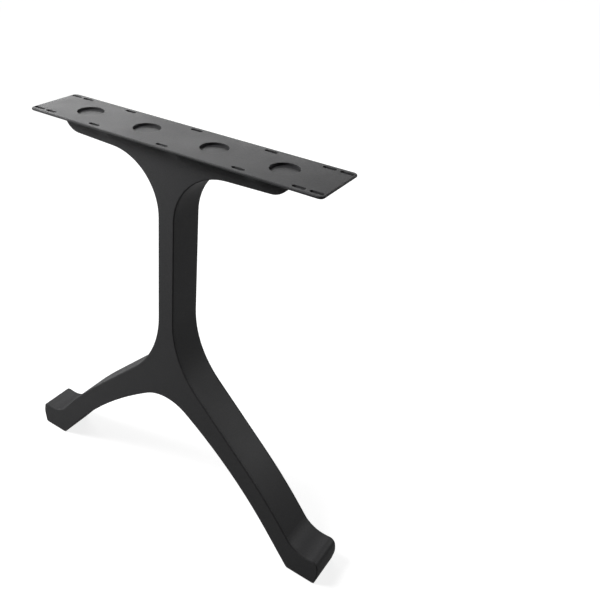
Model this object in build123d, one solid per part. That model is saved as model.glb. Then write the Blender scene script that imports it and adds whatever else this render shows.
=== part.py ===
from build123d import *
from math import atan2, dist, pi, remainder, tan
import os

# Wishbone table leg: a hollow Y-shaped steel box under a slotted mounting plate.
# Millimetres. X runs along the mounting plate, Y through the depth of the leg
# (front face towards -Y), Z up. The origin is on the floor, midway between the feet.

# Overall
leg_height = 720.0            # floor to the top of the mounting plate
body_depth = 66.0             # front face to rear face
wall = 4.0                    # thickness of every plate and strip of the hollow body
edge_break = 1.5              # ground edge all round the front and rear faces

# Mounting plate
plate_length = 555.0
plate_width = 106.0
plate_thickness = 4.0
plate_corner_radius = 8.0
plate_edge_break = 1.0        # small bevel round both faces of the plate
plug_hole_diameter = 45.0     # holes through which the plate is welded to the body
inner_plug_x = 66.0           # from the middle of the plate to the inner plug holes
outer_plug_inset = 29.5       # from the tip of an arm to the outer plug hole above it
slot_length = 22.0            # end to end
slot_width = 7.0
slot_side_margin = 10.0       # middle of a slot to the plate's long edge
slot_end_margin = 13.5        # middle of an end slot to the plate's end
slot_end_pitch = 27.5         # from an end slot to the next one
slot_mid_x = 138.5            # slots between the plug holes

# Arms of the wishbone, under the plate
arm_reach = 218.0             # middle of the leg to the tip of an arm, at the plate
arm_thickness = 25.0          # just inside the rounding of the tip
arm_nose_run = 31.0           # length of the rounding under the tip
arm_root_thickness = 31.0     # where its underside would meet the stem's side line
arm_root_radius = 98.5        # arm into stem

# Stem
stem_width = 32.0
stem_root_radius = 178.0      # stem into leg
fork_height = 323.6           # where the stem's side line meets the leg's outer line

# Spread legs: outer and inner line each have one long bend, so the leg is steeper below it
outer_bend_x = 223.0          # corner of the outer line's bend
outer_bend_height = 127.2
outer_straight = 10.5         # straight stretch between that bend and the toe
crown_height = 251.3          # corner at the top of the arch between the legs
crown_radius = 83.0
inner_bend_x = 150.5          # corner of the inner line's bend
inner_bend_height = 153.5
inner_straight = 3.9          # straight stretch between that bend and the crown

# Feet: a short toe with a bowed end turns up from the end of each leg
toe_x = 329.5                 # middle of the leg to the outer corner of a sole
sole_length = 55.5
toe_length = 45.0             # along the top of the toe
toe_height = 50.6
toe_rise = 3.6                # the toe's top rises by this much from its root
toe_lean = 1.5                # the toe's end leans out by this much at its top
toe_bow = 5.5                 # and by this much at the corner in the middle of its bow
toe_bow_height = 27.0
toe_root_radius = 50.0
toe_top_radius = 11.0
toe_bow_radius = 48.0
toe_sole_radius = 4.0
heel_radius = 6.0

# Worked out from the sizes above
body_top = leg_height - plate_thickness
half_stem = stem_width / 2
strip_width = body_depth - 2 * wall
front_face_y = -body_depth / 2
outer_plug_x = arm_reach - outer_plug_inset
slot_row_y = plate_width / 2 - slot_side_margin
slot_end_x = plate_length / 2 - slot_end_margin
slot_inner_end_x = slot_end_x - slot_end_pitch


def turn_at(before, corner, after):
    """Angle in radians by which a line changes direction at a corner."""
    arriving = atan2(corner[1] - before[1], corner[0] - before[0])
    leaving = atan2(after[1] - corner[1], after[0] - corner[0])
    return abs(remainder(leaving - arriving, 2 * pi))


def long_bend_radius(before, bend, corner, after, corner_radius, straight):
    """Radius of a long bend that ends at the straight stretch beside the next rounded corner."""
    rounding = corner_radius * tan(turn_at(bend, corner, after) / 2)
    run = dist(bend, corner) - rounding - straight
    return run / tan(turn_at(before, bend, corner) / 2)


def right_corners():
    """Corners down the right side of the outline, from arm to heel to crown, each with its radius."""
    arm_root = (half_stem, body_top - arm_root_thickness)
    fork = (half_stem, fork_height)
    outer_bend = (outer_bend_x, outer_bend_height)
    toe_top = (toe_x + toe_lean, toe_height)
    toe_root = (toe_top[0] - toe_length, toe_height - toe_rise)
    bow = (toe_x + toe_bow, toe_bow_height)
    sole_end = (toe_x, 0)
    heel = (toe_x - sole_length, 0)
    inner_bend = (inner_bend_x, inner_bend_height)
    crown = (0, crown_height)
    across = (-inner_bend_x, inner_bend_height)
    outer_radius = long_bend_radius(
        fork, outer_bend, toe_root, toe_top, toe_root_radius, outer_straight
    )
    inner_radius = long_bend_radius(
        heel, inner_bend, crown, across, crown_radius, inner_straight
    )
    return [
        (arm_root, arm_root_radius),
        (fork, stem_root_radius),
        (outer_bend, outer_radius),
        (toe_root, toe_root_radius),
        (toe_top, toe_top_radius),
        (bow, toe_bow_radius),
        (sole_end, toe_sole_radius),
        (heel, heel_radius),
        (inner_bend, inner_radius),
    ]


def mirrored(corners):
    return [((-x, z), radius) for (x, z), radius in reversed(corners)]


def body_outline(inset=0.0):
    """Face of the whole wishbone, seen from the front, pulled in all round by an inset."""
    right = right_corners()
    corners = right + [((0, crown_height), crown_radius)] + mirrored(right)
    nose_x = arm_reach - arm_nose_run
    nose_z = body_top - arm_thickness
    points = [(nose_x, nose_z)] + [point for point, radius in corners] + [(-nose_x, nose_z)]
    lower_edge = FilletPolyline(*points, radius=[radius for point, radius in corners])
    start, end = lower_edge @ 0, lower_edge @ 1
    right_nose = TangentArc(start, (arm_reach, body_top), tangent=-(lower_edge % 0))
    left_nose = TangentArc(end, (-arm_reach, body_top), tangent=lower_edge % 1)
    top_edge = Line((-arm_reach, body_top), (arm_reach, body_top))
    face = make_face(Wire([*lower_edge.edges(), right_nose.edge(), left_nose.edge(), top_edge.edge()]))
    if inset:
        face = offset(face, -inset)
    return face


def standing(face, start_y, thickness):
    """A front-view face stood up and made solid, from start_y towards +Y."""
    return extrude(Plane.XZ.offset(-start_y) * face, amount=thickness, dir=(0, 1, 0))


def band(low, high):
    """Front-view rectangle between two heights, wider than the whole leg."""
    reach = max(arm_reach, toe_x + toe_bow) + wall
    return Pos(0, (low + high) / 2) * Rectangle(2 * reach, high - low)


def profile_plate(outer_y, inner_y):
    """Front or rear face plate, with its outside edges ground off."""
    plate = standing(body_outline(), min(outer_y, inner_y), wall)
    outside = plate.faces().filter_by(Axis.Y).sort_by(Axis.Y)[0 if outer_y < inner_y else -1]
    ground = [edge for edge in outside.edges() if edge.center().Z < body_top - edge_break]
    return chamfer(ground, edge_break)


def bent_strips():
    """The strips that run round between the profile plates, parted where they are welded to each other."""
    ring = body_outline() - body_outline(wall)
    cuts = [band(body_top - wall, body_top), band(0, wall), band(wall, body_top - wall)]
    strips = [standing(ring & cut, front_face_y + wall, strip_width) for cut in cuts]
    top, soles, sides = [strip.solids().sort_by(Axis.X) for strip in strips]
    return top[0], soles, sides


def both_sides(distances):
    """Places at each distance to the left and right of the middle, and the middle itself once."""
    return sorted({side * distance for distance in distances for side in (-1, 1)})


def mounting_plate():
    plate = Rectangle(plate_length, plate_width)
    plate = fillet(plate.vertices(), plate_corner_radius)
    for x in both_sides([inner_plug_x, outer_plug_x]):
        plate -= Pos(x, 0) * Circle(plug_hole_diameter / 2)
    for x in both_sides([0, slot_mid_x, slot_inner_end_x, slot_end_x]):
        for y in (-slot_row_y, slot_row_y):
            plate -= Pos(x, y) * SlotOverall(slot_length, slot_width)
    solid = extrude(Pos(0, 0, body_top) * plate, amount=plate_thickness, dir=(0, 0, 1))
    rims = [
        edge
        for face in solid.faces().filter_by(Axis.Z)
        for edge in face.outer_wire().edges()
    ]
    return chamfer(rims, plate_edge_break)


def save(name, shape):
    export_step(shape, f"parts/{name}.step")


os.makedirs("parts", exist_ok=True)
top_strip, soles, sides = bent_strips()
save("top_plate", mounting_plate())
save("front_profile_plate", profile_plate(front_face_y, front_face_y + wall))
save("rear_profile_plate", profile_plate(-front_face_y, -front_face_y - wall))
save("top_strip", top_strip)
save("left_foot_sole", soles[0])
save("right_foot_sole", soles[1])
for name, strip in zip(("left_side_strip", "arch_strip", "right_side_strip"), sides):
    save(name, strip)
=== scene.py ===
from math import cos, sin

import bpy
from mathutils import Matrix, Vector

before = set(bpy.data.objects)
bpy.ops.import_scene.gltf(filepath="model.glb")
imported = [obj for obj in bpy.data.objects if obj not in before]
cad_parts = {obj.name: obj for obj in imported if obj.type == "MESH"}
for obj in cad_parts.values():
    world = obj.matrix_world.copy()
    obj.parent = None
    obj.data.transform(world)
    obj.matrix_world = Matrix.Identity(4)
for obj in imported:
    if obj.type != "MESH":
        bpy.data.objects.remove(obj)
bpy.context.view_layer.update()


# Front and rear profile plates: the whole wishbone outline, laser cut from mild steel plate.
# They are welded to the edges of the strips that run round between them. The seams are ground
# flush, and then the whole leg is powder coated black.
coat_colour = (0.030, 0.030, 0.031)
tone_drift = 0.1              # share by which the colour strays to either side
tone_per_metre = 420.0
coat_specular = 0.12
coat_roughness = 0.50
roughness_drift = 0.04
roughness_per_metre = 9.0
grain_per_metre = 1200.0
grain_height = 0.00006
peel_per_metre = 260.0
peel_height = 0.00008
soft_edge = 0.001             # the coat's rounding over an edge
soft_edge_samples = 6
cloud_low, cloud_high = 0.3, 0.7   # nearly all of a noise lies between these


def black_powder_coat():
    """Satin skin with a fine grain over an orange peel, flowing round the ground edges."""
    material = bpy.data.materials.new("black_powder_coat")
    material.use_nodes = True
    nodes, links = material.node_tree.nodes, material.node_tree.links
    skin = nodes["Principled BSDF"]
    skin.inputs["Specular IOR Level"].default_value = coat_specular
    place = nodes.new("ShaderNodeTexCoord")

    def cloud(per_metre, detail):
        noise = nodes.new("ShaderNodeTexNoise")
        noise.inputs["Scale"].default_value = per_metre
        noise.inputs["Detail"].default_value = detail
        links.new(place.outputs["Object"], noise.inputs["Vector"])
        return noise.outputs["Fac"]

    def spread(value, low, high):
        ramp = nodes.new("ShaderNodeMapRange")
        ramp.inputs["From Min"].default_value = cloud_low
        ramp.inputs["From Max"].default_value = cloud_high
        ramp.inputs["To Min"].default_value = low
        ramp.inputs["To Max"].default_value = high
        links.new(value, ramp.inputs["Value"])
        return ramp.outputs["Result"]

    def relief(value, height, onto):
        bump = nodes.new("ShaderNodeBump")
        bump.inputs["Strength"].default_value = 1.0
        bump.inputs["Distance"].default_value = height
        links.new(value, bump.inputs["Height"])
        links.new(onto, bump.inputs["Normal"])
        return bump.outputs["Normal"]

    edges = nodes.new("ShaderNodeBevel")
    edges.samples = soft_edge_samples
    edges.inputs["Radius"].default_value = soft_edge
    peel = relief(cloud(peel_per_metre, detail=1.0), peel_height, edges.outputs["Normal"])
    grain = relief(cloud(grain_per_metre, detail=2.0), grain_height, peel)
    links.new(grain, skin.inputs["Normal"])

    gloss = cloud(roughness_per_metre, detail=3.0)
    satin = spread(gloss, coat_roughness - roughness_drift, coat_roughness + roughness_drift)
    links.new(satin, skin.inputs["Roughness"])

    tone = nodes.new("ShaderNodeMix")
    tone.data_type = "RGBA"
    tone.inputs["A"].default_value = (*[(1 - tone_drift) * part for part in coat_colour], 1)
    tone.inputs["B"].default_value = (*[(1 + tone_drift) * part for part in coat_colour], 1)
    links.new(spread(cloud(tone_per_metre, detail=4.0), 0.0, 1.0), tone.inputs["Factor"])
    links.new(tone.outputs["Result"], skin.inputs["Base Color"])
    return material


coat = black_powder_coat()


def coat_pieces(*names):
    for name in names:
        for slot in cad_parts[name].material_slots:
            slot.material = coat


coat_pieces("front_profile_plate", "rear_profile_plate")


# Strips: flat steel, welded in between the profile plates. A straight one closes the top. The
# others are bent to the outline: one down each side from the arm to the toe, and one over the
# arch between the feet.
coat_pieces("top_strip", "left_side_strip", "right_side_strip", "arch_strip")


# Soles: short flat strips of the same steel, welded in under the feet. They stand on the
# floor without glides, and are coated like the rest.
coat_pieces("left_foot_sole", "right_foot_sole")


# Mounting plate: flat steel, laser cut with slots for the screws into the table top. It lies
# on the top strip, which shows in its four round holes, and is welded to the body there.
coat_pieces("top_plate")


# Floor of the studio: a broad pale sheet that looks white, a little less so close to the
# leg, where it still takes its soft shadow. It is clear from below, to look at the soles.
floor_size = 24.0
floor_drop = 0.0003           # just clear of the soles
floor_colour = 0.3
white_near = 0.8
white_far = 1.0
whiten_from, whiten_to = 0.5, 2.2   # metres from the leg over which it grows white
floor_reflected = 0.1         # in reflections the lit floor is nearly bright enough by itself


def seen_and_reflected(nodes, links, seen, reflected):
    """Strength of a white: one for the camera, and a fainter one for shiny surfaces."""
    path = nodes.new("ShaderNodeLightPath")
    to_camera = nodes.new("ShaderNodeMath")
    to_camera.operation = "MULTIPLY"
    links.new(path.outputs["Is Camera Ray"], to_camera.inputs[0])
    links.new(seen, to_camera.inputs[1])
    mirrored = nodes.new("ShaderNodeMath")
    mirrored.operation = "MAXIMUM"
    links.new(path.outputs["Is Glossy Ray"], mirrored.inputs[0])
    links.new(path.outputs["Is Transmission Ray"], mirrored.inputs[1])
    strength = nodes.new("ShaderNodeMath")
    strength.operation = "MULTIPLY_ADD"
    strength.inputs[1].default_value = reflected
    links.new(mirrored.outputs[0], strength.inputs[0])
    links.new(to_camera.outputs[0], strength.inputs[2])
    return strength.outputs[0]


def pale_floor():
    material = bpy.data.materials.new("pale_floor")
    material.use_nodes = True
    nodes, links = material.node_tree.nodes, material.node_tree.links
    nodes.clear()
    out = nodes.new("ShaderNodeOutputMaterial")
    lit = nodes.new("ShaderNodeBsdfDiffuse")
    lit.inputs["Color"].default_value = (floor_colour, floor_colour, floor_colour, 1)
    place = nodes.new("ShaderNodeTexCoord")
    distance = nodes.new("ShaderNodeVectorMath")
    distance.operation = "LENGTH"
    links.new(place.outputs["Object"], distance.inputs[0])
    white = nodes.new("ShaderNodeMapRange")
    white.interpolation_type = "SMOOTHSTEP"
    white.inputs["From Min"].default_value = whiten_from
    white.inputs["From Max"].default_value = whiten_to
    white.inputs["To Min"].default_value = white_near
    white.inputs["To Max"].default_value = white_far
    links.new(distance.outputs["Value"], white.inputs["Value"])
    glow = nodes.new("ShaderNodeEmission")
    strength = seen_and_reflected(nodes, links, white.outputs["Result"], floor_reflected)
    links.new(strength, glow.inputs["Strength"])
    both = nodes.new("ShaderNodeAddShader")
    links.new(lit.outputs[0], both.inputs[0])
    links.new(glow.outputs[0], both.inputs[1])
    side = nodes.new("ShaderNodeNewGeometry")
    clear = nodes.new("ShaderNodeBsdfTransparent")
    one_way = nodes.new("ShaderNodeMixShader")
    links.new(side.outputs["Backfacing"], one_way.inputs["Fac"])
    links.new(both.outputs[0], one_way.inputs[1])
    links.new(clear.outputs[0], one_way.inputs[2])
    links.new(one_way.outputs[0], out.inputs["Surface"])
    return material


floor_mesh = bpy.data.meshes.new("floor")
half = floor_size / 2
floor_mesh.from_pydata(
    [(-half, -half, 0), (half, -half, 0), (half, half, 0), (-half, half, 0)], [], [(0, 1, 2, 3)]
)
floor_mesh.materials.append(pale_floor())
floor = bpy.data.objects.new("floor", floor_mesh)
floor.location.z = -floor_drop
bpy.context.scene.collection.objects.link(floor)


# Room beyond the floor: an even white to the camera, as the far floor is. It lights nothing,
# and shows only faintly in the shine of the coat.
room_white = 1.0
room_reflected = 0.05

room = bpy.data.worlds.new("room")
bpy.context.scene.world = room
room.use_nodes = True
room_nodes, room_links = room.node_tree.nodes, room.node_tree.links
even_white = room_nodes.new("ShaderNodeValue")
even_white.outputs[0].default_value = room_white
room_strength = seen_and_reflected(room_nodes, room_links, even_white.outputs[0], room_reflected)
room_nodes["Background"].inputs["Color"].default_value = (1, 1, 1, 1)
room_links.new(room_strength, room_nodes["Background"].inputs["Strength"])


# Studio light: soft boxes close round the leg. Two stand behind it and one beside the plate's
# left end, and they glance off the plate, so that end is the brightest. The others light the
# front face from the front and left, and a weak one on the right lifts the dark side.
def soft_box(name, place, aim, size, watts):
    lamp_data = bpy.data.lights.new(name, "AREA")
    lamp_data.shape = "RECTANGLE"
    lamp_data.size, lamp_data.size_y = size
    lamp_data.energy = watts
    lamp = bpy.data.objects.new(name, lamp_data)
    lamp.location = place
    lamp.rotation_euler = (Vector(aim) - Vector(place)).to_track_quat("-Z", "Y").to_euler()
    lamp.visible_camera = False
    bpy.context.scene.collection.objects.link(lamp)


soft_box("left_back_box", place=(-0.9, 1.5, 1.35), aim=(0, 0, 0.7), size=(1.0, 0.6), watts=9.2)
soft_box("right_back_box", place=(1.6, 1.8, 1.3), aim=(0, 0, 0.3), size=(1.0, 1.0), watts=26.0)
soft_box("plate_end_box", place=(-1.0, 0.6, 1.0), aim=(-0.2, 0, 0.7), size=(0.5, 0.4), watts=4.0)
soft_box("left_box", place=(-1.6, -0.2, 1.2), aim=(0, 0, 0.6), size=(0.6, 0.6), watts=5.0)
soft_box("left_foot_box", place=(-1.2, -0.5, 0.4), aim=(-0.1, 0, 0.2), size=(0.6, 0.6), watts=5.2)
soft_box("key_box", place=(-1.0, -0.7, 1.7), aim=(0, 0, 0.5), size=(0.7, 0.7), watts=38.0)
soft_box(
    "stem_top_box", place=(-0.3, -0.45, 1.15), aim=(0, -0.033, 0.68), size=(0.25, 0.25), watts=2.6
)
soft_box("right_box", place=(1.8, 0.2, 1.0), aim=(0, 0, 0.5), size=(1.0, 1.0), watts=3.0)


# Camera, at the height and angle from which the leg was photographed: above the mounting
# plate, to the right of the front face and tipped a little to one side.
camera_place = Vector((0.6679, -0.8433, 1.1155))
turn_left = 0.6073            # radians round from looking straight at the front face
tilt_down = 0.472
roll = 0.0413
lens_mm = 44.55
sensor_mm = 36.0
picture_shift = (0.1333, -0.12)   # the leg stands left of and below the picture's middle

across = Vector((cos(turn_left), sin(turn_left), 0))
ahead = Vector((-sin(turn_left) * cos(tilt_down), cos(turn_left) * cos(tilt_down), -sin(tilt_down)))
below = -across.cross(ahead)
picture_right = cos(roll) * across - sin(roll) * below
picture_up = -(sin(roll) * across + cos(roll) * below)
camera_data = bpy.data.cameras.new("camera")
camera_data.lens = lens_mm
camera_data.sensor_width = sensor_mm
camera_data.shift_x, camera_data.shift_y = picture_shift
camera = bpy.data.objects.new("camera", camera_data)
turned = Matrix((picture_right, picture_up, -ahead)).transposed().to_4x4()
camera.matrix_world = Matrix.Translation(camera_place) @ turned
bpy.context.scene.collection.objects.link(camera)
bpy.context.scene.camera = camera
bpy.context.scene.view_settings.view_transform = "Standard"
